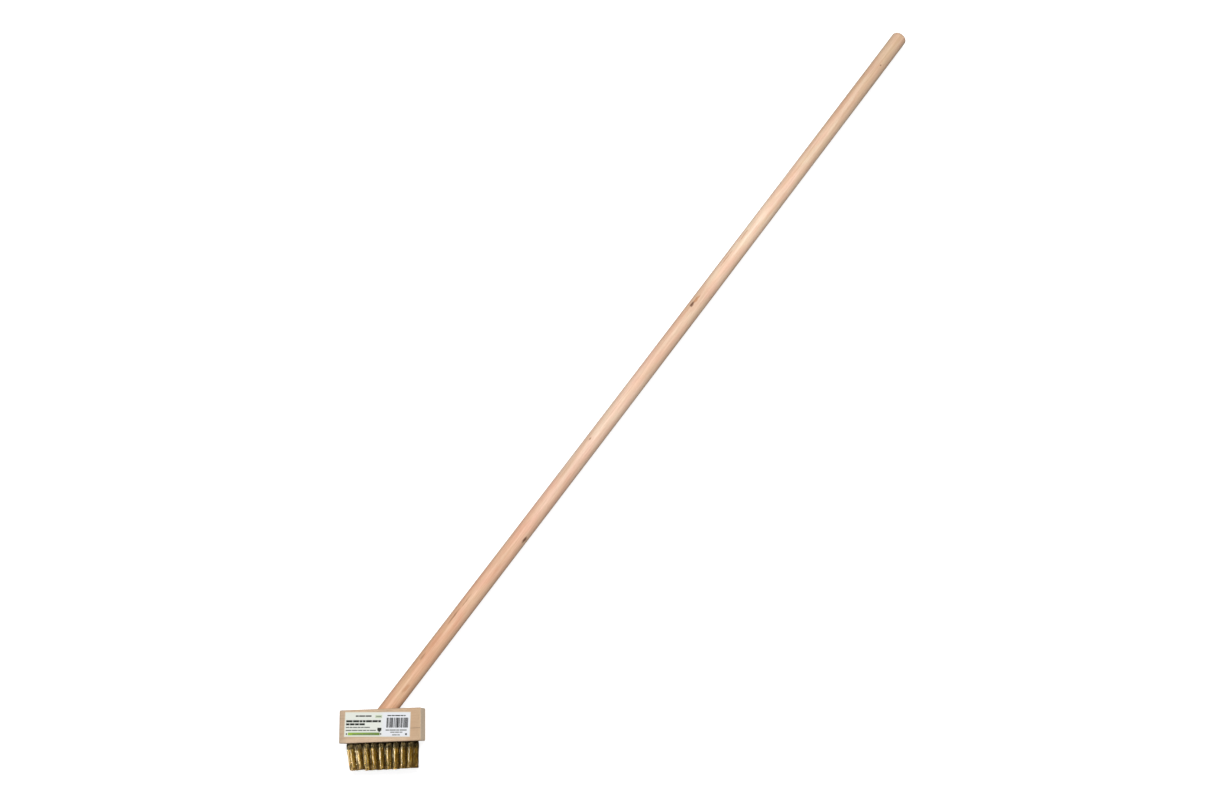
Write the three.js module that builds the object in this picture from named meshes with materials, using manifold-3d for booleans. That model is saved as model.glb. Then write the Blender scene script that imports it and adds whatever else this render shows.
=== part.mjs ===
// A wire brush on a long wooden handle, for scrubbing joints and cracks while standing.
//
// Frame, in millimetres: the brush lies on the back face of its block. +X runs along the block,
// +Y runs from the tips of the wire to the handle, and +Z points out of the labelled face.
// The origin is the centre of the block's back face.
import * as THREE from "three";
import { RoundedBoxGeometry } from "three/addons/geometries/RoundedBoxGeometry.js";
import { mergeVertices } from "three/addons/utils/BufferGeometryUtils.js";
import Module from "manifold-3d";

const wasm = await Module();
wasm.setup();

// ---- Driving dimensions ----

const FIT_GAP = 0.3; // left around each piece that sits in the block

const BLOCK_LENGTH = 119; // along X
const BLOCK_HEIGHT = 47; // along Y, from the drilled face to the handle face
const BLOCK_DEPTH = 43; // along Z, from the back face to the labelled face
const BLOCK_EDGE_RADIUS = 1.6;
const BLOCK_EDGE_STEPS = 2;

const HANDLE_RADIUS = 12.7;
const HANDLE_LENGTH = 1400;
const HANDLE_LEAN = THREE.MathUtils.degToRad(38.7); // from +Y towards +X
const HANDLE_OFFSET = 7.7; // where its axis leaves the handle face, along X
const HANDLE_SIDES = 32;
const HANDLE_END_RADIUS = 5.5; // the rounded-over far end
const HANDLE_END_STEPS = 4;
const HANDLE_ROOT_CHAMFER = 1.2;
const SOCKET_DEPTH = 28; // along the handle's axis

const LABEL_LENGTH = 96;
const LABEL_HEIGHT = 35.2;
const LABEL_THICKNESS = 0.2;
const LABEL_MIDDLE_X = -3.6;
const LABEL_MIDDLE_Y = 1.6;
const LABEL_TURN = THREE.MathUtils.degToRad(-2); // stuck on a little askew

const TUFT_PITCH = 10.95; // along a row
const TUFTS_PER_ROW = [9, 10, 9]; // staggered, from the labelled face to the back
const ROW_PITCH = 11.5;
const TUFT_FREE_LENGTH = 38; // from the drilled face to the trimmed tips
const TUFT_HOLE_DEPTH = 14;
const TUFT_ROOT_RADIUS = 3.5;
const TUFT_TIP_RADIUS = 4.6;
const TUFT_SIDES = 10;
const TUFT_LEAN_MIDDLE = THREE.MathUtils.degToRad(3.5); // tips towards +X
const TUFT_LEAN_CHANGE = THREE.MathUtils.degToRad(-6.5); // from the middle to the right-hand end

const ANCHOR_LENGTH = 9; // flat wire, driven across the folded root of each tuft
const ANCHOR_HEIGHT = 2;
const ANCHOR_THICKNESS = 0.7;
const ANCHOR_ABOVE_HOLE_END = 3;

// ---- Materials ----

const wood = (color) => new THREE.MeshStandardMaterial({ color, roughness: 0.72, metalness: 0 });
const blockWood = wood(0xcba885);
const handleWood = wood(0xe3c09f);
const labelPaper = new THREE.MeshStandardMaterial({ color: 0xeeeee8, roughness: 0.6, metalness: 0 });
const brassWire = new THREE.MeshStandardMaterial({ color: 0xb08a3e, roughness: 0.35, metalness: 1 });
const anchorSteel = new THREE.MeshStandardMaterial({ color: 0x8d8f92, roughness: 0.45, metalness: 1 });

// ---- Solids ----

function solidFrom(geometry, matrix = new THREE.Matrix4()) {
  const bare = geometry.clone().applyMatrix4(matrix);
  bare.deleteAttribute("normal");
  bare.deleteAttribute("uv");
  const merged = mergeVertices(bare, 1e-4);
  return new wasm.Manifold(
    new wasm.Mesh({
      numProp: 3,
      vertProperties: merged.attributes.position.array,
      triVerts: new Uint32Array(merged.index.array),
    }),
  );
}

function geometryFrom(solid) {
  const mesh = solid.getMesh();
  const geometry = new THREE.BufferGeometry();
  geometry.setAttribute("position", new THREE.BufferAttribute(mesh.vertProperties, 3));
  geometry.setIndex(new THREE.BufferAttribute(mesh.triVerts, 1));
  geometry.computeVertexNormals();
  return geometry;
}

function namedMesh(name, geometry, material) {
  const mesh = new THREE.Mesh(geometry, material);
  mesh.name = name;
  return mesh;
}

// ---- Places ----

// The handle's own frame: its origin is at the closed end of the socket, and +Y runs up the handle.
function placeHandle(object) {
  object.position.set(HANDLE_OFFSET, BLOCK_HEIGHT / 2, BLOCK_DEPTH / 2);
  object.rotation.z = -HANDLE_LEAN;
  object.translateY(-SOCKET_DEPTH);
  object.updateMatrix();
  return object;
}

// A tuft's own frame: its origin is at the mouth of its hole, and -Y runs out to the tips.
function placeTuft(object, row, column) {
  const count = TUFTS_PER_ROW[row];
  const x = (column - (count - 1) / 2) * TUFT_PITCH;
  const z = BLOCK_DEPTH / 2 + ((TUFTS_PER_ROW.length - 1) / 2 - row) * ROW_PITCH;
  object.position.set(x, -BLOCK_HEIGHT / 2, z);
  object.rotation.z = tuftLean(x);
  object.updateMatrix();
  return object;
}

function tuftLean(x) {
  return TUFT_LEAN_MIDDLE + (TUFT_LEAN_CHANGE * x) / (BLOCK_LENGTH / 2);
}

function forEachTuft(visit) {
  TUFTS_PER_ROW.forEach((count, row) => {
    for (let column = 0; column < count; column += 1) {
      visit(row, column);
    }
  });
}

// ---- Sub-parts ----

function anchorGeometry(clearance) {
  const anchor = new THREE.BoxGeometry(
    ANCHOR_LENGTH + 2 * clearance,
    ANCHOR_HEIGHT + 2 * clearance,
    ANCHOR_THICKNESS + 2 * clearance,
  );
  return anchor.translate(0, TUFT_HOLE_DEPTH - ANCHOR_ABOVE_HOLE_END, 0);
}

function tuftHole() {
  const pastTheFace = 1;
  const depth = TUFT_HOLE_DEPTH + pastTheFace;
  const radius = TUFT_ROOT_RADIUS + FIT_GAP;
  const bore = new THREE.CylinderGeometry(radius, radius, depth, TUFT_SIDES);
  bore.translate(0, TUFT_HOLE_DEPTH - depth / 2, 0);
  return solidFrom(bore).add(solidFrom(anchorGeometry(FIT_GAP)));
}

function tuftGeometry() {
  const profile = [
    new THREE.Vector2(0, -TUFT_FREE_LENGTH),
    new THREE.Vector2(TUFT_TIP_RADIUS, -TUFT_FREE_LENGTH),
    new THREE.Vector2(TUFT_ROOT_RADIUS, 0),
    new THREE.Vector2(TUFT_ROOT_RADIUS, TUFT_HOLE_DEPTH - FIT_GAP),
    new THREE.Vector2(0, TUFT_HOLE_DEPTH - FIT_GAP),
  ];
  const bundle = solidFrom(new THREE.LatheGeometry(profile, TUFT_SIDES));
  return geometryFrom(bundle.subtract(solidFrom(anchorGeometry(FIT_GAP))));
}

function blockGeometry() {
  const body = new RoundedBoxGeometry(
    BLOCK_LENGTH,
    BLOCK_HEIGHT,
    BLOCK_DEPTH,
    BLOCK_EDGE_STEPS,
    BLOCK_EDGE_RADIUS,
  ).translate(0, 0, BLOCK_DEPTH / 2);

  const socketRadius = HANDLE_RADIUS + FIT_GAP;
  const socketLength = SOCKET_DEPTH + BLOCK_HEIGHT;
  const socket = new THREE.CylinderGeometry(socketRadius, socketRadius, socketLength, HANDLE_SIDES);
  socket.translate(0, socketLength / 2 - FIT_GAP, 0);
  let block = solidFrom(body).subtract(solidFrom(socket, placeHandle(new THREE.Group()).matrix));

  const hole = geometryFrom(tuftHole());
  forEachTuft((row, column) => {
    block = block.subtract(solidFrom(hole, placeTuft(new THREE.Group(), row, column).matrix));
  });
  return geometryFrom(block);
}

function handleGeometry() {
  const profile = [
    new THREE.Vector2(0, 0),
    new THREE.Vector2(HANDLE_RADIUS - HANDLE_ROOT_CHAMFER, 0),
    new THREE.Vector2(HANDLE_RADIUS, HANDLE_ROOT_CHAMFER),
  ];
  const arcX = HANDLE_RADIUS - HANDLE_END_RADIUS;
  const arcY = HANDLE_LENGTH - HANDLE_END_RADIUS;
  for (let step = 0; step <= HANDLE_END_STEPS; step += 1) {
    const angle = (Math.PI / 2) * (step / HANDLE_END_STEPS);
    const x = arcX + HANDLE_END_RADIUS * Math.cos(angle);
    const y = arcY + HANDLE_END_RADIUS * Math.sin(angle);
    profile.push(new THREE.Vector2(x, y));
  }
  profile.push(new THREE.Vector2(0, HANDLE_LENGTH));
  return new THREE.LatheGeometry(profile, HANDLE_SIDES);
}

function labelMesh() {
  const sheet = new THREE.BoxGeometry(LABEL_LENGTH, LABEL_HEIGHT, LABEL_THICKNESS);
  const label = namedMesh("label", sheet, labelPaper);
  label.position.set(LABEL_MIDDLE_X, LABEL_MIDDLE_Y, BLOCK_DEPTH + LABEL_THICKNESS / 2);
  label.rotation.z = LABEL_TURN;
  return label;
}

// ---- Assembly ----

const brush = new THREE.Group();
brush.add(namedMesh("block", blockGeometry(), blockWood));
brush.add(placeHandle(namedMesh("handle", handleGeometry(), handleWood)));
brush.add(labelMesh());

const tuft = tuftGeometry();
const anchor = anchorGeometry(0);
forEachTuft((row, column) => {
  const place = `r${row + 1}_c${String(column + 1).padStart(2, "0")}`;
  brush.add(placeTuft(namedMesh(`tuft_${place}`, tuft, brassWire), row, column));
  brush.add(placeTuft(namedMesh(`anchor_${place}`, anchor, anchorSteel), row, column));
});

export default brush;
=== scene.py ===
import math
import random

import bmesh
import bpy
from mathutils import Euler, Matrix, Vector, noise


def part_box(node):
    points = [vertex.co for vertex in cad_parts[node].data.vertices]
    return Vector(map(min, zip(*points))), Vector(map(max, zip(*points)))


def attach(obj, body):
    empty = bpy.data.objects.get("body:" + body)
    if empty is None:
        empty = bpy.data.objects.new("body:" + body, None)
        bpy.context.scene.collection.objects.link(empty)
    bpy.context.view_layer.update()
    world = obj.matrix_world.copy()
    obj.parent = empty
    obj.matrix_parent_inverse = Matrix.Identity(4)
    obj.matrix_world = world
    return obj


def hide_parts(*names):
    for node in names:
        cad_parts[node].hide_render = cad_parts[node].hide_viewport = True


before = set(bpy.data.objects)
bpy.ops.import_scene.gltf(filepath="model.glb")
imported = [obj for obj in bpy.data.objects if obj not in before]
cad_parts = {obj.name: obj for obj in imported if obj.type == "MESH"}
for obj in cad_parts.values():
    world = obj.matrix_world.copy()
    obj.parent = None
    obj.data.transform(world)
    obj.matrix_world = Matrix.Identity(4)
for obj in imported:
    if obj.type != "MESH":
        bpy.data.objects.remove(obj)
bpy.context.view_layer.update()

# A long-handled wire brush, lying on the back face of its block. Row frame, in metres: +X runs
# along the block, +Y from the wire tips to the handle, and +Z out of the labelled face.
MM = 0.001

# ---- Sizes shared with the CAD model ----

BLOCK_LOW, BLOCK_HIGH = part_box("block")
BLOCK_MIDDLE = (BLOCK_LOW + BLOCK_HIGH) / 2

HANDLE_RADIUS = 12.7 * MM
HANDLE_LENGTH = 1400 * MM
HANDLE_LEAN = math.radians(38.7)
HANDLE_OFFSET = 7.7 * MM
HANDLE_END_RADIUS = 5.5 * MM
SOCKET_DEPTH = 28 * MM

LABEL_LENGTH = 96 * MM
LABEL_HEIGHT = 35.2 * MM
LABEL_THICKNESS = 0.2 * MM
LABEL_MIDDLE = (-3.6 * MM, 1.6 * MM)
LABEL_TURN = math.radians(-2)

TUFT_PITCH = 10.95 * MM
TUFTS_PER_ROW = (9, 10, 9)
ROW_PITCH = 11.5 * MM
TUFT_FREE_LENGTH = 38 * MM
TUFT_HOLE_DEPTH = 14 * MM
TUFT_ROOT_RADIUS = 3.5 * MM
TUFT_LEAN_MIDDLE = math.radians(3.5)
TUFT_LEAN_CHANGE = math.radians(-6.5)


# ---- Helpers for meshes ----

SHARP_ANGLE = math.radians(35)


def object_from(name, mesh, materials=()):
    piece = bpy.data.objects.new(name, mesh)
    bpy.context.scene.collection.objects.link(piece)
    for material in materials:
        mesh.materials.append(material)
    return piece


def mesh_from(name, points, faces, sharp_angle=SHARP_ANGLE):
    mesh = bpy.data.meshes.new(name)
    mesh.from_pydata(points, [], faces)
    mesh.update()
    smooth(mesh, sharp_angle)
    return mesh


def smooth(mesh, sharp_angle):
    mesh.polygons.foreach_set("use_smooth", [True] * len(mesh.polygons))
    mesh.set_sharp_from_angle(angle=sharp_angle)
    mesh.update()


def join_rings(faces, low, high, sides):
    """Quads between two rings of points, whose first points are numbered low and high."""
    for side in range(sides):
        after = (side + 1) % sides
        faces.append((low + side, low + after, high + after, high + side))


def lathe(stations, sides, shape=None):
    """Points and faces of a closed turned body along +Y, from (radius, y) stations."""
    points = []
    faces = []
    for index, (radius, y) in enumerate(stations):
        for side in range(sides):
            angle = 2 * math.pi * side / sides
            point = Vector((radius * math.sin(angle), y, radius * math.cos(angle)))
            points.append(shape(point) if shape else point)
        if index > 0:
            join_rings(faces, (index - 1) * sides, index * sides, sides)
    last = (len(stations) - 1) * sides
    faces.append(tuple(reversed(range(sides))))
    faces.append(tuple(range(last, last + sides)))
    return points, faces


# ---- Helpers for materials ----


class Nodes:
    """A material's node tree, with one short call for each kind of node."""

    def __init__(self, name):
        self.material = bpy.data.materials.new(name)
        self.material.use_nodes = True
        self.tree = self.material.node_tree
        self.surface = self.tree.nodes["Principled BSDF"]

    def add(self, kind, inputs=None, **settings):
        node = self.tree.nodes.new(kind)
        for key, value in settings.items():
            setattr(node, key, value)
        for key, value in (inputs or {}).items():
            self.feed(node.inputs[key], value)
        return node

    def feed(self, socket, value):
        if isinstance(value, bpy.types.NodeSocket):
            self.tree.links.new(value, socket)
        else:
            socket.default_value = value

    def place(self):
        return self.add("ShaderNodeTexCoord").outputs["Object"]

    def island(self):
        return self.add("ShaderNodeNewGeometry").outputs["Random Per Island"]

    def stretch(self, vector, scale):
        mapping = self.add("ShaderNodeMapping", {"Vector": vector, "Scale": scale})
        return mapping.outputs["Vector"]

    def split(self, vector):
        return self.add("ShaderNodeSeparateXYZ", {"Vector": vector}).outputs

    def join(self, x, y, z):
        return self.add("ShaderNodeCombineXYZ", {"X": x, "Y": y, "Z": z}).outputs["Vector"]

    def noise(self, vector, scale, detail=3.0, roughness=0.5):
        inputs = {"Vector": vector, "Scale": scale, "Detail": detail, "Roughness": roughness}
        return self.add("ShaderNodeTexNoise", inputs).outputs["Fac"]

    def math(self, operation, a, b=0.0):
        node = self.add("ShaderNodeMath", operation=operation)
        self.feed(node.inputs[0], a)
        self.feed(node.inputs[1], b)
        return node.outputs[0]

    def length(self, vector):
        node = self.add("ShaderNodeVectorMath", operation="LENGTH")
        self.feed(node.inputs[0], vector)
        return node.outputs["Value"]

    def ranged(self, value, low, high, to_low=0.0, to_high=1.0):
        inputs = {"Value": value, "From Min": low, "From Max": high, "To Min": to_low, "To Max": to_high}
        return self.add("ShaderNodeMapRange", inputs).outputs["Result"]

    def ramp(self, value, *stops):
        node = self.add("ShaderNodeValToRGB", {"Fac": value})
        elements = node.color_ramp.elements
        while len(elements) < len(stops):
            elements.new(0.5)
        for element, (position, color) in zip(elements, stops):
            element.position = position
            element.color = (*color, 1.0)
        return node.outputs["Color"]

    def mix(self, factor, a, b, blend="MIX"):
        node = self.add("ShaderNodeMix", data_type="RGBA", blend_type=blend)
        self.feed(node.inputs["Factor"], factor)
        self.feed(node.inputs["A"], a if isinstance(a, bpy.types.NodeSocket) else (*a, 1.0))
        self.feed(node.inputs["B"], b if isinstance(b, bpy.types.NodeSocket) else (*b, 1.0))
        return node.outputs["Result"]

    def bump(self, height, strength, distance):
        inputs = {"Height": height, "Strength": strength, "Distance": distance}
        self.feed(self.surface.inputs["Normal"], self.add("ShaderNodeBump", inputs).outputs["Normal"])

    def set(self, **values):
        for key, value in values.items():
            self.feed(self.surface.inputs[key.replace("_", " ")], value)


def grey(level):
    return (level, level, level)


# ---- Stage: floor, light and camera ----

CAMERA_PLACE = (0.377, -0.0458, 1.9288)
CAMERA_TURN = (15.222, 1.471, -2.13)  # degrees
CAMERA_LENS = 37.5  # millimetres, like the width of its sensor
CAMERA_SENSOR = 36

FLOOR_HALF_SIZE = 15
FLOOR_TONE = 0.4
FLOOR_GLOW = 0.9  # to the camera only
WORLD_GLOW = 0.2
WORLD_GLOW_TO_CAMERA = 1.1


def make_camera():
    camera = bpy.data.cameras.new("camera")
    camera.lens = CAMERA_LENS
    camera.sensor_width = CAMERA_SENSOR
    camera.dof.use_dof = False
    holder = bpy.data.objects.new("camera", camera)
    holder.location = CAMERA_PLACE
    holder.rotation_euler = Euler([math.radians(angle) for angle in CAMERA_TURN])
    bpy.context.scene.collection.objects.link(holder)
    bpy.context.scene.camera = holder


def make_floor():
    """A pale floor that looks white to the camera but throws little light back at the brush."""
    nodes = Nodes("floor")
    rays = nodes.add("ShaderNodeLightPath").outputs["Is Camera Ray"]
    glow = nodes.ranged(rays, 0, 1, 0, FLOOR_GLOW)
    nodes.set(Base_Color=(*grey(FLOOR_TONE), 1), Roughness=0.9)
    nodes.set(Emission_Color=(1, 1, 1, 1), Emission_Strength=glow)
    half = FLOOR_HALF_SIZE
    corners = [(-half, -half, 0), (half, -half, 0), (half, half, 0), (-half, half, 0)]
    object_from("floor", mesh_from("floor", corners, [(0, 1, 2, 3)]), [nodes.material])


def make_world():
    world = bpy.data.worlds.new("studio")
    world.use_nodes = True
    tree = world.node_tree
    tree.nodes["Background"].inputs["Color"].default_value = (1, 1, 1, 1)
    rays = tree.nodes.new("ShaderNodeLightPath")
    brightness = tree.nodes.new("ShaderNodeMapRange")
    brightness.inputs["To Min"].default_value = WORLD_GLOW
    brightness.inputs["To Max"].default_value = WORLD_GLOW_TO_CAMERA
    tree.links.new(rays.outputs["Is Camera Ray"], brightness.inputs["Value"])
    tree.links.new(brightness.outputs["Result"], tree.nodes["Background"].inputs["Strength"])
    bpy.context.scene.world = world
    bpy.context.scene.view_settings.view_transform = "Standard"


def make_light(name, place, target, size, power, only_on=None):
    """A soft round light: its width in metres, its power in watts, and the pieces it is for, if not all."""
    light = bpy.data.lights.new(name, "AREA")
    light.shape = "DISK"
    light.size = size
    light.energy = power
    holder = bpy.data.objects.new(name, light)
    holder.location = place
    direction = Vector(target) - Vector(place)
    holder.rotation_euler = direction.to_track_quat("-Z", "Y").to_euler()
    holder.visible_camera = False
    holder.light_linking.receiver_collection = only_on
    bpy.context.scene.collection.objects.link(holder)


wire_group = bpy.data.collections.new("wires")
block_group = bpy.data.collections.new("block_and_label")
handle_group = bpy.data.collections.new("handle")
make_camera()
make_floor()
make_world()
make_light("front", (0.34, 1.05, 2.95), (0.35, 0.4, 0), 1.2, 88)
make_light("side_fill", (1.5, -0.1, 0.18), (0, 0, 0.02), 0.5, 9, block_group)
make_light("handle_fill", (1.8, -0.6, 1.6), (0.4, 0.5, 0), 0.8, 9, handle_group)
make_light("wire_streaks", (-2.1, -0.16, 0.5), (0.1, 0, 0), 0.4, 60, wire_group)
make_light("wire_fill", (1.9, -0.35, 0.7), (0, 0, 0), 0.6, 9, wire_group)


# ---- Handle ----

HANDLE_CHAMFER = 1.2 * MM
HANDLE_BOW = 1.2 * MM
HANDLE_SWELL = 0.008  # as a share of its radius
HANDLE_SIDES = 48
HANDLE_STEPS = 140
HANDLE_END_STEPS = 8


def handle_knot(nodes, place, along, turn, reach):
    """1 in the middle of a spot on the handle's surface, falling to 0 at its rim."""
    angle = math.radians(turn)
    middle = (HANDLE_RADIUS * math.sin(angle), along, HANDLE_RADIUS * math.cos(angle))
    across, lengthwise = reach
    scale = (1 / across, 1 / lengthwise, 1 / across)
    shift = [-part * size for part, size in zip(middle, scale)]
    inputs = {"Vector": place, "Location": shift, "Scale": scale}
    offset = nodes.add("ShaderNodeMapping", inputs).outputs["Vector"]
    return nodes.ranged(nodes.length(offset), 0, 1, 1, 0)


KNOT = (0.16, 0.07, 0.035)
CURL = (0.42, 0.17, 0.06)
STREAK = (0.3, 0.15, 0.08)

# Each mark: distance along the handle, turn from the labelled side (degrees), reach across and
# along the grain, strength and colour. The last two are on the side away from the label.
HANDLE_MARKS = (
    (118 * MM, -21, (3.0 * MM, 11 * MM), 0.55, STREAK),
    (68 * MM, 20, (4.6 * MM, 16 * MM), 0.4, CURL),
    (193 * MM, -19, (1.9 * MM, 24 * MM), 0.8, STREAK),
    (222 * MM, -14, (1.5 * MM, 19 * MM), 0.65, STREAK),
    (346 * MM, 52, (4.2 * MM, 10 * MM), 0.95, KNOT),
    (530 * MM, -14, (2.6 * MM, 4.5 * MM), 0.75, STREAK),
    (812 * MM, -13, (4.6 * MM, 15 * MM), 0.7, CURL),
    (801 * MM, -17, (5.0 * MM, 9 * MM), 1.0, KNOT),
    (896 * MM, -24, (2.0 * MM, 28 * MM), 0.55, CURL),
    (947 * MM, -25, (2.0 * MM, 30 * MM), 0.55, CURL),
    (1329 * MM, 21, (1.6 * MM, 3.2 * MM), 0.9, KNOT),
    (430 * MM, 170, (3.6 * MM, 8 * MM), 0.9, KNOT),
    (1010 * MM, 150, (3.2 * MM, 7 * MM), 0.9, KNOT),
)


def handle_material():
    nodes = Nodes("handle_wood")
    place = nodes.place()
    parts = nodes.split(place)
    wander = nodes.noise(nodes.stretch(place, (1, 0.12, 1)), 60, 2)
    along = nodes.ranged(parts["Y"], 0, HANDLE_LENGTH)
    zones = nodes.ramp(
        nodes.math("ADD", along, nodes.ranged(wander, 0, 1, -0.04, 0.04)),
        (0.10, (0.74, 0.465, 0.31)),
        (0.23, (0.75, 0.49, 0.355)),
        (0.34, (0.77, 0.56, 0.45)),
        (0.45, (0.79, 0.60, 0.48)),
        (0.57, (0.71, 0.50, 0.375)),
        (0.69, (0.83, 0.65, 0.52)),
        (0.81, (0.75, 0.56, 0.43)),
        (0.94, (0.67, 0.50, 0.365)),
    )
    fine = nodes.noise(nodes.stretch(place, (1, 0.025, 1)), 900, 4, 0.65)
    broad = nodes.noise(nodes.stretch(place, (1, 0.04, 1)), 170, 3, 0.6)
    color = nodes.mix(
        nodes.ranged(broad, 0.35, 0.7), zones, nodes.mix(1.0, zones, (0.88, 0.80, 0.72), "MULTIPLY")
    )
    tone = nodes.ramp(nodes.ranged(fine, 0.32, 0.68), (0, (0.84, 0.80, 0.76)), (1, (1.07, 1.07, 1.07)))
    color = nodes.mix(1.0, color, tone, "MULTIPLY")

    # Pink and cream patches, each a few centimetres long.
    patches = nodes.noise(nodes.stretch(place, (1, 0.3, 1)), 70, 3, 0.6)
    tint = nodes.ramp(nodes.ranged(patches, 0.35, 0.65), (0, (1.02, 0.92, 0.90)), (1, (1.0, 1.04, 1.0)))
    color = nodes.mix(1.0, color, tint, "MULTIPLY")

    # Both flanks get painted shade, browner: a narrow strip on the left, and a wider and weaker one on the
    # right.
    side = nodes.ranged(parts["X"], -HANDLE_RADIUS, HANDLE_RADIUS)
    painted_flank_shade = nodes.ramp(side, (0.02, grey(0.5)), (0.13, grey(0)), (0.78, grey(0)), (0.98, grey(0.35)))
    color = nodes.mix(painted_flank_shade, color, (0.46, 0.32, 0.20))
    ragged = nodes.noise(nodes.stretch(place, (1, 0.25, 1)), 500, 3, 0.6)
    uneven = nodes.ranged(ragged, 0.3, 0.7, -0.25, 0.25)
    for distance, turn, reach, strength, mark_color in HANDLE_MARKS:
        spot = nodes.math("ADD", handle_knot(nodes, place, distance, turn, reach), uneven)
        mark = nodes.math("MULTIPLY", nodes.ranged(spot, 0.3, 0.65), strength)
        color = nodes.mix(mark, color, mark_color)
    nodes.set(Base_Color=color, Roughness=nodes.ranged(fine, 0.3, 0.7, 0.62, 0.48))
    nodes.bump(fine, 0.35, 0.15 * MM)
    return nodes.material


def handle_shape(point):
    """The handle isn't quite round or straight: it swells a little and bows to one side."""
    swell = 1 + HANDLE_SWELL * noise.noise(Vector((point.x * 60, point.y * 9, point.z * 60)))
    bend = HANDLE_BOW * math.sin(math.pi * point.y / HANDLE_LENGTH)
    return Vector((point.x * swell + bend, point.y, point.z * swell))


def handle_matrix():
    lean = Matrix.Rotation(-HANDLE_LEAN, 4, "Z")
    mouth = Vector((HANDLE_OFFSET, BLOCK_HIGH.y, BLOCK_MIDDLE.z))
    return Matrix.Translation(mouth) @ lean @ Matrix.Translation((0, -SOCKET_DEPTH, 0))


def make_handle():
    stations = [(HANDLE_RADIUS - HANDLE_CHAMFER, 0), (HANDLE_RADIUS, HANDLE_CHAMFER)]
    for step in range(1, HANDLE_STEPS):
        stations.append((HANDLE_RADIUS, step * (HANDLE_LENGTH - HANDLE_END_RADIUS) / HANDLE_STEPS))
    for step in range(HANDLE_END_STEPS + 1):
        angle = math.pi / 2 * step / HANDLE_END_STEPS
        radius = HANDLE_RADIUS - HANDLE_END_RADIUS * (1 - math.cos(angle))
        stations.append((radius, HANDLE_LENGTH - HANDLE_END_RADIUS * (1 - math.sin(angle))))
    points, faces = lathe(stations, HANDLE_SIDES, handle_shape)
    handle = object_from("wood_handle", mesh_from("handle", points, faces), [handle_material()])
    handle.matrix_world = handle_matrix()
    handle_group.objects.link(handle)
    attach(handle, "root")
    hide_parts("handle")


make_handle()


# ---- Places of the tufts ----


def tuft_places():
    """The seed, name and matrix of each tuft; its own -Y runs out to the tips."""
    places = []
    for row, count in enumerate(TUFTS_PER_ROW):
        z = BLOCK_MIDDLE.z + ((len(TUFTS_PER_ROW) - 1) / 2 - row) * ROW_PITCH
        for column in range(count):
            x = (column - (count - 1) / 2) * TUFT_PITCH
            lean = TUFT_LEAN_MIDDLE + TUFT_LEAN_CHANGE * x / (BLOCK_HIGH.x - BLOCK_MIDDLE.x)
            matrix = Matrix.Translation((x, BLOCK_LOW.y, z)) @ Matrix.Rotation(lean, 4, "Z")
            places.append((100 * row + column, f"r{row + 1}_c{column + 1:02d}", matrix))
    return places


# ---- Tufts ----


def brass_material():
    nodes = Nodes("brass_wire")
    place = nodes.place()
    out = nodes.math("MULTIPLY", nodes.split(place)["Y"], -1.0)
    shade = nodes.ramp(
        nodes.island(),
        (0.0, (0.48, 0.30, 0.05)),
        (0.35, (0.66, 0.44, 0.09)),
        (0.75, (0.82, 0.58, 0.17)),
        (0.95, (0.95, 0.77, 0.42)),
    )

    # Each tuft has a painted highlight, a bright streak left of its middle, and painted shade where it
    # meets its neighbours.
    chance = nodes.add("ShaderNodeObjectInfo").outputs["Random"]
    sway = nodes.noise(nodes.stretch(place, (0.3, 1, 0.3)), 90, 2)
    across = nodes.math("ADD", nodes.split(place)["X"], nodes.ranged(sway, 0.3, 0.7, -0.9 * MM, 0.9 * MM))
    across = nodes.math("ADD", across, nodes.ranged(chance, 0, 1, -0.5 * MM, 0.9 * MM))
    across = nodes.ranged(across, -4.8 * MM, 4.8 * MM)
    # Painted shade across each tuft: dark at its left rim, darkest at its right-hand side.
    painted_gap_shade = nodes.ramp(
        across,
        (0.02, (0.22, 0.18, 0.09)),
        (0.22, (0.53, 0.48, 0.30)),
        (0.50, (0.48, 0.42, 0.23)),
        (0.76, (0.36, 0.30, 0.15)),
        (0.97, (0.15, 0.11, 0.05)),
    )
    shade = nodes.mix(1.0, shade, painted_gap_shade, "MULTIPLY")
    # Painted highlight: a cream streak down each tuft, fading towards the tips.
    painted_highlight = nodes.ramp(across, (0.23, grey(0)), (0.28, grey(1)), (0.35, grey(1)), (0.42, grey(0)))
    painted_highlight = nodes.math("MULTIPLY", painted_highlight, nodes.ranged(out, 20 * MM, 34 * MM, 1, 0.4))
    shade = nodes.mix(painted_highlight, shade, (1.0, 0.92, 0.70))

    # Tarnish dulls some stretches. The roots get a painted shadow of the block, nearly black, and the tips
    # are darker.
    tarnish = nodes.noise(nodes.stretch(place, (1, 0.3, 1)), 380, 3, 0.6)
    tarnished = nodes.mix(1.0, shade, (0.52, 0.44, 0.28), "MULTIPLY")
    dull = nodes.mix(nodes.ranged(tarnish, 0.42, 0.7), shade, tarnished)
    # Painted shadow of the block over the first centimetre of the wires.
    painted_root_shadow = nodes.ranged(out, 6.5 * MM, 11.5 * MM, 0.94, 0.0)
    color = nodes.mix(painted_root_shadow, dull, (0.080, 0.060, 0.028))
    color = nodes.mix(nodes.ranged(out, 22 * MM, 38 * MM, 0.0, 0.6), color, (0.16, 0.10, 0.035))
    nodes.set(Base_Color=color, Metallic=1.0, Roughness=nodes.ranged(tarnish, 0.35, 0.7, 0.24, 0.36))
    return nodes.material


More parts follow.
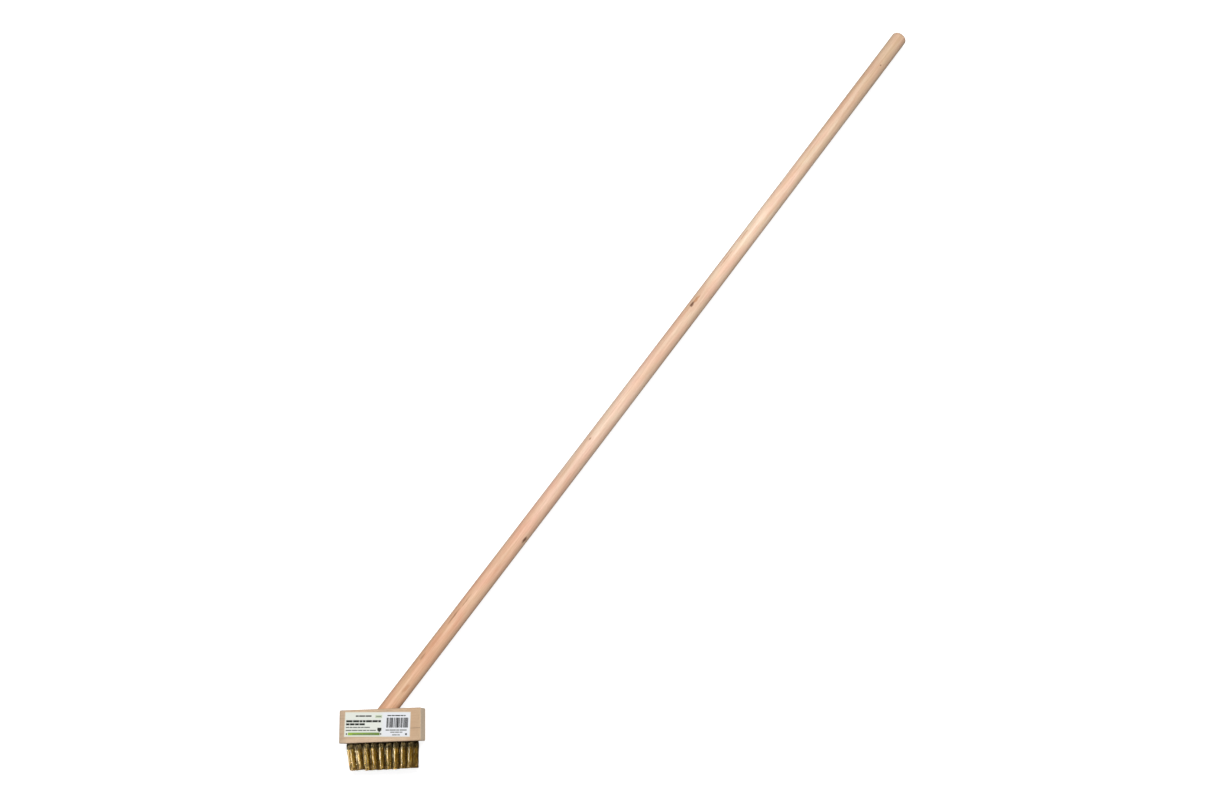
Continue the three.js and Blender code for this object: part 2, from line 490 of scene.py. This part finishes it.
WIRES_PER_TUFT = 104
WIRE_RADIUS = 0.25 * MM
WIRE_SIDES = 5
WIRE_SHARP_ANGLE = math.radians(80)
WIRE_INSIDE = 3 * MM  # how far each wire runs into its hole
WIRE_STEP = 1.9 * MM
CRIMP_PITCH = 7.5 * MM
CRIMP_DEPTH = 0.07 * MM
STRAY = 0.65 * MM  # how far a wire's tip strays to each side, as a rule
KINK = 0.15 * MM
TUFT_LENGTH_CHANGE = (-0.9 * MM, 0.7 * MM)
WIRE_LENGTH_CHANGE = (-0.7 * MM, 0.6 * MM)
FLARE = 0.36  # how much wider than its root a tuft grows, over the flare's length
FLARE_LENGTH = 5.5 * MM
CROWDING = 0.45  # 0.5 would spread the wires evenly; less puts more of them near the rim
GOLDEN_TURN = math.pi * (3 - math.sqrt(5))
UNRULY_START = 20 * MM  # the wires of tufts to the right of this place stray more
UNRULY_REACH = 28 * MM  # this far beyond it they stray twice as much


def add_wire(points, faces, path):
    """Adds a closed tube along path."""
    start = len(points)
    last = len(path) - 1
    for index, centre in enumerate(path):
        ahead = path[min(index + 1, last)] - path[max(index - 1, 0)]
        across = ahead.cross(Vector((0, 0, 1))).normalized()
        upwards = ahead.cross(across).normalized()
        for side in range(WIRE_SIDES):
            angle = 2 * math.pi * side / WIRE_SIDES
            points.append(centre + (across * math.cos(angle) + upwards * math.sin(angle)) * WIRE_RADIUS)
        if index > 0:
            ring = start + index * WIRE_SIDES
            join_rings(faces, ring - WIRE_SIDES, ring, WIRE_SIDES)
    faces.append(tuple(start + side for side in reversed(range(WIRE_SIDES))))
    faces.append(tuple(start + last * WIRE_SIDES + side for side in range(WIRE_SIDES)))


def sideways(draw):
    """A random step across the tuft."""
    return Vector((draw.gauss(0, 1), 0, draw.gauss(0, 1)))


def wire_path(draw, root, length, unruly):
    """Points along one crimped wire, which strays more the nearer they are to its tip."""
    phase = draw.uniform(0, 2 * math.pi)
    crimp_turn = draw.uniform(0, math.pi)
    crimp = Vector((math.cos(crimp_turn), 0, math.sin(crimp_turn)))
    crimp *= CRIMP_DEPTH * draw.uniform(0.6, 1.5)
    stray = sideways(draw) * STRAY * unruly
    kink = sideways(draw) * KINK
    path = []
    steps = round((length + WIRE_INSIDE) / WIRE_STEP)
    for step in range(steps + 1):
        out = (length + WIRE_INSIDE) * step / steps - WIRE_INSIDE
        flare = 1 + FLARE * math.sin(math.pi / 2 * min(max(out / FLARE_LENGTH, 0), 1))
        late = max(out / length, 0)
        path.append(
            root * flare
            + crimp * math.sin(2 * math.pi * out / CRIMP_PITCH + phase)
            + stray * late ** 3
            + kink * math.sin(2 * math.pi * late * 2) * late
            + Vector((0, -out, 0))
        )
    return path


def make_tuft(seed, place, matrix, material):
    draw = random.Random(seed)
    points = []
    faces = []
    tuft_length = TUFT_FREE_LENGTH + draw.uniform(*TUFT_LENGTH_CHANGE)
    unruly = 1 + max(0, matrix.translation.x - UNRULY_START) / UNRULY_REACH
    for index in range(WIRES_PER_TUFT):
        share = ((index + 0.5) / WIRES_PER_TUFT) ** CROWDING
        turn = index * GOLDEN_TURN + draw.uniform(-0.3, 0.3)
        root = Vector((math.cos(turn), 0, math.sin(turn))) * share * (TUFT_ROOT_RADIUS - WIRE_RADIUS)
        length = tuft_length + draw.uniform(*WIRE_LENGTH_CHANGE)
        add_wire(points, faces, wire_path(draw, root, length, unruly))
    mesh = mesh_from(f"wires_{place}", points, faces, WIRE_SHARP_ANGLE)
    tuft = object_from(f"wires_{place}", mesh, [material])
    tuft.matrix_world = matrix
    wire_group.objects.link(tuft)
    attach(tuft, "root")
    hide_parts(f"tuft_{place}")


def anchor_material():
    nodes = Nodes("anchor_steel")
    patina = nodes.noise(nodes.place(), 900, 3)
    nodes.set(Base_Color=nodes.ramp(patina, (0.3, grey(0.22)), (0.7, grey(0.42))))
    nodes.set(Metallic=1.0, Roughness=nodes.ranged(patina, 0.3, 0.7, 0.5, 0.35))
    return nodes.material


def make_tufts():
    brass = brass_material()
    steel = anchor_material()
    for seed, place, matrix in tuft_places():
        make_tuft(seed, place, matrix, brass)
        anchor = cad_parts[f"anchor_{place}"]
        anchor.data.materials.clear()
        anchor.data.materials.append(steel)


make_tufts()


# ---- Block ----

BLOCK_EDGE_RADIUS = 1.6 * MM
BLOCK_EDGE_STEPS = 5
BLOCK_STEP = 1.6 * MM
WELD_DISTANCE = 0.002 * MM
EDGE_WEAR = 0.5  # as a share of the edge's radius
KNOCK_DEPTH = 1.1 * MM
KNOCK_REACH = 5 * MM
SOCKET_GAP = 0.15 * MM
SOCKET_SIDES = 64
HOLE_GAP = 0.1 * MM
HOLE_SPLAY = 0.35 * MM  # how much the radius of a tuft hole grows at its mouth
HOLE_SPLAY_DEPTH = 0.6 * MM
HOLE_SIDES = 20
GRAIN_CENTRE = (-38 * MM, -22 * MM)  # Y and Z of the middle of the growth rings
GROWTH_RING = 2.6 * MM


def graded(low, high):
    """Places from low to high, close together by both ends, where the edges are rounded."""
    radius = BLOCK_EDGE_RADIUS
    turns = [math.pi / 2 * step / BLOCK_EDGE_STEPS for step in range(BLOCK_EDGE_STEPS + 1)]
    near = [radius * (1 - math.cos(turn)) for turn in turns]
    count = round((high - low - 2 * radius) / BLOCK_STEP)
    even = [low + radius + (high - low - 2 * radius) * step / count for step in range(1, count)]
    return [low + part for part in near] + even + [high - part for part in reversed(near)]


def worn(point):
    """Rounds the block's edges, a little unevenly, and knocks off one corner."""
    low = BLOCK_LOW
    high = BLOCK_HIGH
    radius = BLOCK_EDGE_RADIUS
    inner = Vector([min(max(point[i], low[i] + radius), high[i] - radius) for i in range(3)])
    outwards = (point - inner).normalized()
    rounding = 1 - max(abs(part) for part in outwards)
    rough = noise.noise(point * 70) + 0.6 * noise.noise(point * 260)
    rub = EDGE_WEAR * radius * rounding * rough
    corner = Vector((high.x, low.y, high.z))
    knock = KNOCK_DEPTH * max(0, 1 - (point - corner).length / KNOCK_REACH)
    return inner + outwards * (radius - max(rub, 0)) - (corner - BLOCK_MIDDLE).normalized() * knock


def block_points_and_faces():
    axes = [graded(BLOCK_LOW[i], BLOCK_HIGH[i]) for i in range(3)]
    points = []
    faces = []
    for fixed in range(3):
        first = (fixed + 1) % 3
        second = (fixed + 2) % 3
        for end in (0, -1):
            start = len(points)
            for a in axes[first]:
                for b in axes[second]:
                    point = Vector((0, 0, 0))
                    point[fixed] = axes[fixed][end]
                    point[first] = a
                    point[second] = b
                    points.append(worn(point))
            across = len(axes[second])
            for i in range(len(axes[first]) - 1):
                for j in range(across - 1):
                    corner = start + i * across + j
                    face = (corner, corner + across, corner + across + 1, corner + 1)
                    faces.append(face if end == -1 else tuple(reversed(face)))
    return points, faces


def weld(mesh):
    """Joins the six faces of the block where they meet."""
    shell = bmesh.new()
    shell.from_mesh(mesh)
    bmesh.ops.remove_doubles(shell, verts=shell.verts, dist=WELD_DISTANCE)
    shell.to_mesh(mesh)
    shell.free()
    mesh.update()


def hole_cutter():
    """One mesh that holds a plug for each tuft and one for the handle."""
    points = []
    faces = []

    def add_plug(stations, sides, matrix):
        start = len(points)
        plug_points, plug_faces = lathe(stations, sides)
        points.extend(matrix @ point for point in plug_points)
        faces.extend(tuple(index + start for index in face) for face in plug_faces)

    radius = TUFT_ROOT_RADIUS + HOLE_GAP
    below_face = 2 * MM
    hole = [(radius + 2 * HOLE_SPLAY, -below_face), (radius + HOLE_SPLAY, 0)]
    hole += [(radius, HOLE_SPLAY_DEPTH), (radius, TUFT_HOLE_DEPTH)]
    for _, _, matrix in tuft_places():
        add_plug(hole, HOLE_SIDES, matrix)
    bore = HANDLE_RADIUS + SOCKET_GAP
    above_face = 30 * MM
    socket = [(bore, -SOCKET_GAP), (bore, SOCKET_DEPTH + above_face)]
    add_plug(socket, SOCKET_SIDES, handle_matrix())
    return object_from("cutter", mesh_from("cutter", points, faces))


def block_material():
    nodes = Nodes("block_wood")
    place = nodes.place()
    parts = nodes.split(place)
    bend = nodes.ranged(nodes.noise(nodes.stretch(place, (0.25, 1, 1)), 45, 3), 0, 1, -2 * MM, 2 * MM)
    across = nodes.math("SUBTRACT", parts["Y"], GRAIN_CENTRE[0])
    deep = nodes.math("SUBTRACT", parts["Z"], GRAIN_CENTRE[1])
    radius = nodes.math("ADD", nodes.length(nodes.join(0.0, across, deep)), bend)
    ring = nodes.math("PINGPONG", nodes.math("DIVIDE", radius, GROWTH_RING), 0.5)
    late_wood = nodes.ranged(ring, 0.32, 0.5)

    fibre = nodes.noise(nodes.stretch(place, (0.05, 1, 1)), 1100, 4, 0.65)
    cloud = nodes.noise(nodes.stretch(place, (0.5, 1, 1)), 38, 3)
    base = nodes.ramp(cloud, (0.3, (0.57, 0.39, 0.25)), (0.7, (0.65, 0.46, 0.30)))

    # The wood is paler along the drilled face and duller at the left-hand end.
    pale = nodes.ranged(parts["Y"], BLOCK_LOW.y + 3 * MM, BLOCK_LOW.y + 12 * MM, 0.75, 0)
    base = nodes.mix(pale, base, (0.68, 0.51, 0.35))
    dull = nodes.ranged(parts["X"], BLOCK_LOW.x + 4 * MM, BLOCK_LOW.x + 12 * MM, 0.5, 0)
    base = nodes.mix(dull, base, (0.45, 0.34, 0.24))
    color = nodes.mix(nodes.math("MULTIPLY", late_wood, 0.4), base, (0.42, 0.26, 0.15))
    tone = nodes.ramp(nodes.ranged(fibre, 0.32, 0.68), (0, grey(0.86)), (1, grey(1.06)))
    color = nodes.mix(1.0, color, tone, "MULTIPLY")

    flecks = nodes.noise(nodes.stretch(place, (0.28, 1, 1)), 1500, 1, 0.4)
    color = nodes.mix(nodes.ranged(flecks, 0.66, 0.74, 0, 0.4), color, (0.30, 0.17, 0.09))

    # Towards the right-hand end the wood turns from tan to a greyer, greener tone.
    grey_end = nodes.ranged(parts["X"], BLOCK_HIGH.x - 14 * MM, BLOCK_HIGH.x, 0, 0.45)
    color = nodes.mix(grey_end, color, (0.44, 0.37, 0.24))

    # From the label's right-hand edge to that end it is more orange.
    beside_label = nodes.ranged(parts["X"], 34 * MM, 44 * MM, 0, 0.6)
    color = nodes.mix(beside_label, color, (0.54, 0.345, 0.20))

    # One dark line of grain runs from the label's right-hand side to the end.
    line_y = nodes.math("ADD", parts["Y"], nodes.math("ADD", 5.2 * MM, nodes.math("MULTIPLY", bend, 0.5)))
    line = nodes.ranged(nodes.math("ABSOLUTE", line_y), 0.15 * MM, 0.75 * MM, 0.7, 0)
    line = nodes.math("MULTIPLY", line, nodes.ranged(parts["X"], 34 * MM, 48 * MM))
    color = nodes.mix(line, color, (0.20, 0.12, 0.07))

    # The handle face and its edges get painted shade, and the end faces show pores and the ends of the
    # rings.
    painted_top_shade = nodes.ranged(parts["Y"], BLOCK_HIGH.y - 1.5 * MM, BLOCK_HIGH.y - 0.4 * MM, 0, 0.5)
    color = nodes.mix(painted_top_shade, color, (0.28, 0.2, 0.13))
    from_middle = nodes.math("ABSOLUTE", parts["X"])
    end_face = nodes.ranged(from_middle, BLOCK_HIGH.x - 0.9 * MM, BLOCK_HIGH.x - 0.2 * MM)
    pores = nodes.noise(place, 2600, 2, 0.6)
    end_tone = nodes.ramp(pores, (0.35, (0.46, 0.35, 0.24)), (0.65, (0.68, 0.55, 0.40)))
    end_tone = nodes.mix(nodes.math("MULTIPLY", late_wood, 0.4), end_tone, (0.36, 0.25, 0.16))
    color = nodes.mix(end_face, color, end_tone)

    nodes.set(Base_Color=color, Roughness=nodes.ranged(fibre, 0.3, 0.7, 0.72, 0.58))
    nodes.bump(nodes.math("ADD", fibre, nodes.math("MULTIPLY", late_wood, 0.3)), 0.3, 0.15 * MM)
    return nodes.material


def make_block():
    points, faces = block_points_and_faces()
    mesh = mesh_from("block", points, faces)
    weld(mesh)
    block = object_from("wood_block", mesh)
    cutter = hole_cutter()
    holes = block.modifiers.new("holes", "BOOLEAN")
    holes.object = cutter
    holes.operation = "DIFFERENCE"
    holes.solver = "EXACT"
    evaluated = block.evaluated_get(bpy.context.evaluated_depsgraph_get())
    block.data = bpy.data.meshes.new_from_object(evaluated)
    block.modifiers.clear()
    bpy.data.objects.remove(cutter)
    block.data.materials.clear()
    block.data.materials.append(block_material())
    smooth(block.data, SHARP_ANGLE)
    block_group.objects.link(block)
    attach(block, "root")
    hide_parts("block")


make_block()


# ---- Label ----

LABEL_BORDER = 1.1 * MM
GRID_DIGITS = 7  # places on the label are rounded to this many digits, in metres

# In millimetres.
WORD_LENGTHS = (3.5, 9.5)
SHORTEST_WORD = 2.5
WORD_GAP = 0.7
BAR_WIDTHS = (0.8, 1.3, 1.8, 2.4)
BAR_GAPS = (0.3, 0.3, 0.4, 1.2)


def words(left, right, middle, height, seed):
    """Bars that stand for words on one line: (left, top, right, bottom) from the label's top left."""
    draw = random.Random(seed)
    bars = []
    start = left
    while start < right:
        end = min(start + draw.uniform(*WORD_LENGTHS) * MM, right)
        if right - end < SHORTEST_WORD * MM:
            end = right
        bars.append((start, middle - height / 2, end, middle + height / 2))
        start = end + WORD_GAP * MM
    return bars


def bar_code(left, top, right, bottom):
    """Upright bars of random widths, which stand for no number."""
    draw = random.Random(5)
    bars = []
    start = left
    while start < right:
        end = min(start + draw.choice(BAR_WIDTHS) * MM, right)
        bars.append((start, top, end, bottom))
        start = end + draw.choice(BAR_GAPS) * MM
    return bars


def label_print():
    """(material name, rectangle) pairs, from the label's top left; later ones lie on top.

    The places given to lines and patch are in millimetres.
    """
    border = LABEL_BORDER
    areas = [("edge", (0, 0, LABEL_LENGTH, LABEL_HEIGHT))]
    areas.append(("paper", (border, border, LABEL_LENGTH - border, LABEL_HEIGHT - border)))

    def lines(name, left, right, middle, line_height, seed):
        for bar in words(left * MM, right * MM, middle * MM, line_height * MM, seed):
            areas.append((name, bar))

    def patch(name, left, top, right, bottom):
        areas.append((name, (left * MM, top * MM, right * MM, bottom * MM)))

    lines("dark", 15.9, 38.9, 5.8, 1.9, 1)
    patch("pale_green", 44.6, 4.4, 54.3, 8.6)
    lines("grey", 45.6, 53.3, 6.5, 1.0, 11)
    lines("dark", 2.2, 53.0, 13.1, 3.0, 2)
    lines("dark", 2.2, 29.6, 17.4, 2.8, 3)
    lines("grey", 2.2, 37.2, 21.8, 1.6, 4)
    lines("grey", 2.2, 46.3, 26.0, 1.6, 6)
    patch("dark", 48.2, 22.3, 54.2, 26.4)
    patch("dark", 49.3, 26.4, 53.1, 27.5)
    patch("dark", 50.3, 27.5, 52.1, 28.2)
    patch("green", 5.6, 29.0, 51.9, 32.9)
    lines("grey", 12.0, 44.0, 31.5, 0.9, 12)
    patch("dark", 2.6, 29.9, 4.4, 32.2)
    patch("dark", 52.6, 29.9, 54.2, 32.2)

    lines("dark", 62.2, 88.7, 5.2, 1.5, 7)
    for bar in bar_code(61.3 * MM, 8.1 * MM, 92.7 * MM, 22.2 * MM):
        areas.append(("bars", bar))
    lines("grey", 60.3, 91.0, 25.6, 1.6, 8)
    lines("grey", 67.3, 85.0, 28.6, 1.4, 9)
    lines("grey", 70.0, 81.3, 32.4, 1.4, 10)
    patch("dark", 89.0, 30.1, 91.6, 32.7)
    return areas


def ink(name, color, light):
    """Printed ink: patchy, with the paper showing through by the amount called light."""
    nodes = Nodes(name)
    patches = nodes.noise(nodes.place(), 1400, 2, 0.6)
    nodes.set(Base_Color=nodes.mix(nodes.ranged(patches, 0.35, 0.75, 0, light), color, (0.72, 0.74, 0.7)))
    nodes.set(Roughness=nodes.ranged(patches, 0.3, 0.7, 0.5, 0.62))
    nodes.set(Specular_IOR_Level=0.15)
    return nodes.material


def green_ink():
    """The green band, darker towards its right-hand end."""
    nodes = Nodes("ink_green")
    place = nodes.place()
    patches = nodes.noise(place, 1200, 2, 0.6)
    shade = nodes.ramp(
        nodes.ranged(nodes.split(place)["X"], 5 * MM, 52 * MM),
        (0.0, (0.25, 0.43, 0.015)),
        (0.5, (0.17, 0.31, 0.01)),
        (1.0, (0.09, 0.17, 0.01)),
    )
    nodes.set(Base_Color=nodes.mix(nodes.ranged(patches, 0.4, 0.8, 0, 0.15), shade, (0.5, 0.66, 0.3)))
    nodes.set(Roughness=nodes.ranged(patches, 0.3, 0.7, 0.4, 0.5))
    return nodes.material


def paper_material(name, left, right):
    """Coated paper with a faint fibre, from one tint on the left to another on the right."""
    nodes = Nodes(name)
    place = nodes.place()
    fibre = nodes.noise(place, 2200, 3, 0.6)
    halves = nodes.ranged(nodes.split(place)["X"], 50 * MM, 58 * MM)
    tint = nodes.mix(halves, left, right)
    nodes.set(Base_Color=nodes.mix(nodes.ranged(fibre, 0.35, 0.75, 0, 0.12), tint, (0.6, 0.6, 0.58)))
    nodes.set(Roughness=nodes.ranged(fibre, 0.3, 0.7, 0.42, 0.55))
    nodes.bump(fibre, 0.1, 0.03 * MM)
    return nodes.material


def label_materials():
    return {
        "edge": paper_material("label_edge", (0.70, 0.67, 0.54), (0.70, 0.69, 0.64)),
        "paper": paper_material("label_paper", (0.73, 0.755, 0.685), (0.75, 0.765, 0.80)),
        "dark": ink("ink_dark", (0.010, 0.012, 0.008), 0.06),
        "grey": ink("ink_grey", (0.09, 0.095, 0.085), 0.3),
        "bars": ink("ink_bars", (0.012, 0.012, 0.014), 0.06),
        "pale_green": ink("ink_pale_green", (0.50, 0.60, 0.38), 0.5),
        "green": green_ink(),
    }


def make_label():
    """A thin sheet whose front is a grid, where each cell has the material that was printed on it last.

    The label's own frame has its origin at the top left of its back.
    """
    areas = label_print()
    materials = label_materials()
    numbers = {name: index for index, name in enumerate(materials)}
    columns = sorted({round(area[i], GRID_DIGITS) for _, area in areas for i in (0, 2)})
    rows = sorted({round(area[i], GRID_DIGITS) for _, area in areas for i in (1, 3)})

    points = [Vector((x, -y, LABEL_THICKNESS)) for y in rows for x in columns]
    faces = []
    face_materials = []
    wide = len(columns)
    for j in range(len(rows) - 1):
        for i in range(wide - 1):
            x = (columns[i] + columns[i + 1]) / 2
            y = (rows[j] + rows[j + 1]) / 2
            printed = [name for name, area in areas if area[0] < x < area[2] and area[1] < y < area[3]]
            corner = j * wide + i
            faces.append((corner, corner + wide, corner + wide + 1, corner + 1))
            face_materials.append(numbers[printed[-1]])
    outline = list(range(wide))
    outline += [j * wide + wide - 1 for j in range(1, len(rows))]
    outline += [(len(rows) - 1) * wide + i for i in range(wide - 2, -1, -1)]
    outline += [j * wide for j in range(len(rows) - 2, 0, -1)]
    start = len(points)
    for index in outline:
        points.append(Vector((points[index].x, points[index].y, 0)))
    for index, top in enumerate(outline):
        after = (index + 1) % len(outline)
        faces.append((outline[after], start + after, start + index, top))
        face_materials.append(numbers["edge"])
    faces.append(tuple(range(start, len(points))))
    face_materials.append(numbers["edge"])
    mesh = mesh_from("label", points, faces)
    label = object_from("paper_label", mesh, materials.values())
    mesh.polygons.foreach_set("material_index", face_materials)
    middle = Matrix.Translation((*LABEL_MIDDLE, BLOCK_HIGH.z))
    corner = Matrix.Translation((-LABEL_LENGTH / 2, LABEL_HEIGHT / 2, 0))
    label.matrix_world = middle @ Matrix.Rotation(LABEL_TURN, 4, "Z") @ corner
    block_group.objects.link(label)
    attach(label, "root")
    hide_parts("label")


make_label()
